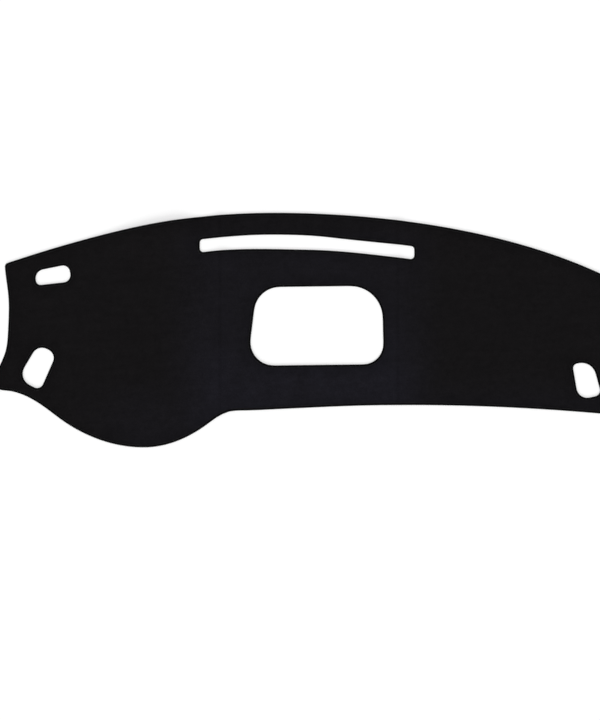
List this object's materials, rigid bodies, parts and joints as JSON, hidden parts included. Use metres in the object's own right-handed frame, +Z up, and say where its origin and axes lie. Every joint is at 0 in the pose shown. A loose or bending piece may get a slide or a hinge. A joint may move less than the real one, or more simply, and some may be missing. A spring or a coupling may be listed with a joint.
{
  "type": "dashboard cover mat",
  "caption": "Flat black felt mat cut to the top of a car dashboard, with a serged edge, a long windscreen slot, a wide centre opening, side vent openings and a bulge over the instrument hood.",
  "frame": {"origin": "middle of the mat's outline, on the surface that it lies on", "axes": "+X along the dashboard to the right, +Y to the windscreen edge, +Z up off the surface"},
  "size_m": [1.4384, 0.528, 0.0149],
  "materials": {
    "felt": "matte black flannel felt with a short nap"
  },
  "bodies": {
    "root": {"dash_mat": "felt"}
  },
  "joints": []
}
